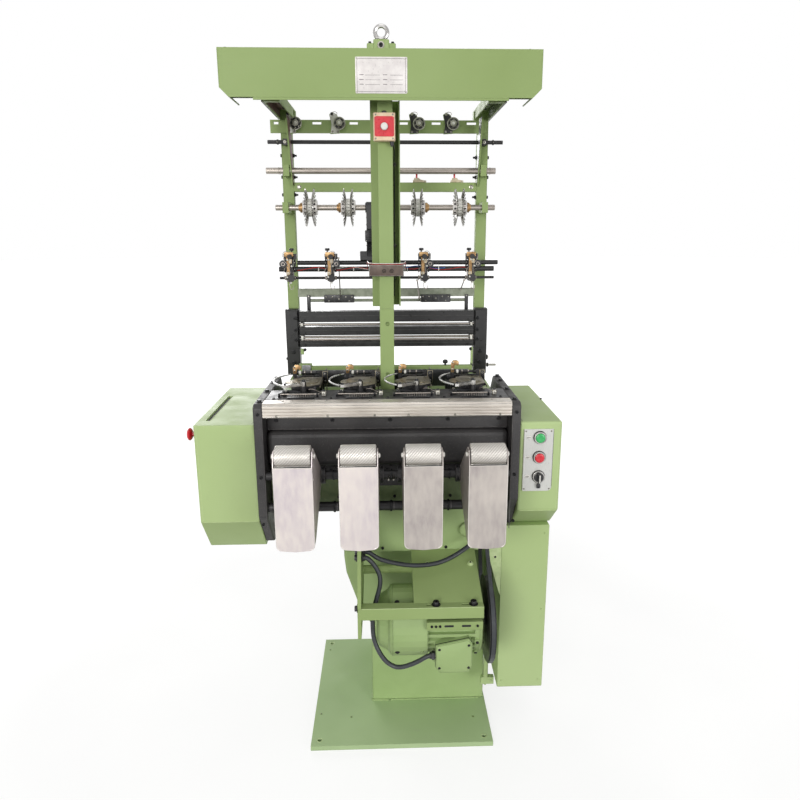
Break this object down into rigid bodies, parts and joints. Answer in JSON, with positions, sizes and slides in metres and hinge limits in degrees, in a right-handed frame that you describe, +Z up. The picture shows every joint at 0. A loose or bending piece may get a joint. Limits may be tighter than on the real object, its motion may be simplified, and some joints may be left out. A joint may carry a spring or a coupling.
{
  "type": "needle loom",
  "caption": "Needle loom for narrow tapes: belt-driven bed on a pedestal, weaving heads over take-down chutes, and a tall yarn frame with feed wheels, guide rollers and a top beam.",
  "frame": {"origin": "on the floor, under the base plate, on the machine's centre plane", "axes": "+Z up, +X to the machine's right seen from the front, +Y towards its back"},
  "size_m": [1.0543, 0.93, 2.1214],
  "materials": {
    "green_paint": "satin pale green paint",
    "green_casting": "painted casting, slightly rough",
    "black_casting": "black, grainy",
    "black_steel": "blackened, half matt",
    "brushed_steel": "brushed along its length",
    "aluminium": "grooved, clear anodised",
    "chrome": "polished",
    "red_plastic": "glossy red",
    "green_plastic": "glossy green",
    "cream_plastic": "cream",
    "black_plastic": "matt black",
    "plate_grey": "satin grey",
    "black_rubber": "matt black"
  },
  "bodies": {
    "frame": {"back_rail": "green_casting", "base_plate": "green_paint", "bed_casting": "green_casting", "belt_guard": "green_paint", "breast_bar": "aluminium", "chute_shaft": "black_steel", "column": "green_paint", "cover_left": "green_paint", "cover_right": "green_paint", "crossbar": "green_paint", "detector_rack": "black_steel", "drive_belt": "black_rubber", "feed_drive": "black_plastic", "harness_beams": "black_casting", "harness_post_left": "black_casting", "harness_post_right": "black_casting", "head_rail": "black_steel", "lease_bars": "aluminium", "lifting_eye": "chrome", "lower_shaft": "black_steel", "main_beam": "black_casting", "motor": "green_casting", "motor_cradle": "green_paint", "motor_hose": "black_rubber", "pedestal": "green_casting", "side_frame_left": "black_casting", "side_frame_right": "black_casting", "stop_box": "cream_plastic", "stop_collar_side": "black_plastic", "supply_hose": "black_rubber", "switch_plate": "plate_grey", "tension_rail": "green_paint", "top_beam": "green_paint", "upright_left": "green_paint", "upright_right": "green_paint", "warp_rod": "black_steel"},
    "chute_1": {"chute_1": "brushed_steel"},
    "chute_2": {"chute_2": "brushed_steel"},
    "chute_3": {"chute_3": "brushed_steel"},
    "chute_4": {"chute_4": "brushed_steel"},
    "feeder_shaft": {"feeder_shaft": "chrome"},
    "guide_roller": {"guide_roller": "chrome"},
    "halt_button": {"halt_button": "red_plastic"},
    "main_pulley": {"main_pulley": "black_steel"},
    "motor_pulley": {"motor_pulley": "black_steel"},
    "nip_roller_1": {"nip_roller_1": "brushed_steel"},
    "nip_roller_2": {"nip_roller_2": "brushed_steel"},
    "nip_roller_3": {"nip_roller_3": "brushed_steel"},
    "nip_roller_4": {"nip_roller_4": "brushed_steel"},
    "selector_knob": {"selector_knob": "black_plastic"},
    "start_button": {"start_button": "green_plastic"},
    "stop_button_side": {"stop_button_side": "red_plastic"},
    "stop_button_top": {"stop_button_top": "red_plastic"},
    "weft_needle_1": {"weft_needle_1": "chrome"},
    "weft_needle_2": {"weft_needle_2": "chrome"},
    "weft_needle_3": {"weft_needle_3": "chrome"},
    "weft_needle_4": {"weft_needle_4": "chrome"}
  },
  "joints": [
    {"name": "feeder_shaft_turn", "type": "hinge", "parent": "frame", "child": "feeder_shaft", "pos_m": [0, 0.34, 1.644], "axis": [1, 0, 0], "continuous": true},
    {"name": "guide_roller_turn", "type": "hinge", "parent": "frame", "child": "guide_roller", "pos_m": [0, 0.398, 1.7675], "axis": [1, 0, 0], "continuous": true},
    {"name": "motor_pulley_turn", "type": "hinge", "parent": "frame", "child": "motor_pulley", "pos_m": [0.276, -0.29, 0.468], "axis": [1, 0, 0], "continuous": true},
    {"name": "main_pulley_turn", "type": "hinge", "parent": "frame", "child": "main_pulley", "pos_m": [0.276, -0.125, 0.704], "axis": [1, 0, 0], "continuous": true},
    {"name": "chute_1_lift", "type": "hinge", "parent": "frame", "child": "chute_1", "pos_m": [-0.2391, -0.25, 0.901], "axis": [-1, 0, 0], "range_deg": [0, 30]},
    {"name": "nip_roller_1_turn", "type": "hinge", "parent": "chute_1", "child": "nip_roller_1", "pos_m": [-0.2391, -0.433, 1.019], "axis": [1, 0, 0], "continuous": true},
    {"name": "weft_needle_1_swing", "type": "hinge", "parent": "frame", "child": "weft_needle_1", "pos_m": [-0.2426, -0.14, 1.14], "axis": [0, 0, -1], "range_deg": [0, 60]},
    {"name": "chute_2_lift", "type": "hinge", "parent": "frame", "child": "chute_2", "pos_m": [-0.0757, -0.25, 0.901], "axis": [-1, 0, 0], "range_deg": [0, 30]},
    {"name": "nip_roller_2_turn", "type": "hinge", "parent": "chute_2", "child": "nip_roller_2", "pos_m": [-0.0757, -0.433, 1.019], "axis": [1, 0, 0], "continuous": true},
    {"name": "weft_needle_2_swing", "type": "hinge", "parent": "frame", "child": "weft_needle_2", "pos_m": [-0.0792, -0.14, 1.14], "axis": [0, 0, -1], "range_deg": [0, 60]},
    {"name": "chute_3_lift", "type": "hinge", "parent": "frame", "child": "chute_3", "pos_m": [0.0877, -0.25, 0.901], "axis": [-1, 0, 0], "range_deg": [0, 30]},
    {"name": "nip_roller_3_turn", "type": "hinge", "parent": "chute_3", "child": "nip_roller_3", "pos_m": [0.0877, -0.433, 1.019], "axis": [1, 0, 0], "continuous": true},
    {"name": "weft_needle_3_swing", "type": "hinge", "parent": "frame", "child": "weft_needle_3", "pos_m": [0.0842, -0.14, 1.14], "axis": [0, 0, -1], "range_deg": [0, 60]},
    {"name": "chute_4_lift", "type": "hinge", "parent": "frame", "child": "chute_4", "pos_m": [0.2511, -0.25, 0.901], "axis": [-1, 0, 0], "range_deg": [0, 30]},
    {"name": "nip_roller_4_turn", "type": "hinge", "parent": "chute_4", "child": "nip_roller_4", "pos_m": [0.2511, -0.433, 1.019], "axis": [1, 0, 0], "continuous": true},
    {"name": "weft_needle_4_swing", "type": "hinge", "parent": "frame", "child": "weft_needle_4", "pos_m": [0.2476, -0.14, 1.14], "axis": [0, 0, -1], "range_deg": [0, 60]},
    {"name": "stop_top_press", "type": "slide", "parent": "frame", "child": "stop_button_top", "axis": [0, 1, 0], "range_m": [0, 0.003], "stiffness_N_per_m": 1500},
    {"name": "stop_side_press", "type": "slide", "parent": "frame", "child": "stop_button_side", "axis": [1, 0, 0], "range_m": [0, 0.004], "stiffness_N_per_m": 1500},
    {"name": "start_press", "type": "slide", "parent": "frame", "child": "start_button", "axis": [0, 1, 0], "range_m": [0, 0.003], "stiffness_N_per_m": 800},
    {"name": "halt_press", "type": "slide", "parent": "frame", "child": "halt_button", "axis": [0, 1, 0], "range_m": [0, 0.003], "stiffness_N_per_m": 800},
    {"name": "selector_turn", "type": "hinge", "parent": "frame", "child": "selector_knob", "pos_m": [0.4255, -0.2583, 0.889], "axis": [0, 1, 0], "range_deg": [-45, 45]}
  ],
  "couplings": [
    {"joint": "weft_needle_2_swing", "follows": "weft_needle_1_swing", "ratio": 1},
    {"joint": "weft_needle_3_swing", "follows": "weft_needle_1_swing", "ratio": 1},
    {"joint": "weft_needle_4_swing", "follows": "weft_needle_1_swing", "ratio": 1},
    {"joint": "main_pulley_turn", "follows": "motor_pulley_turn", "ratio": 2.3462}
  ]
}
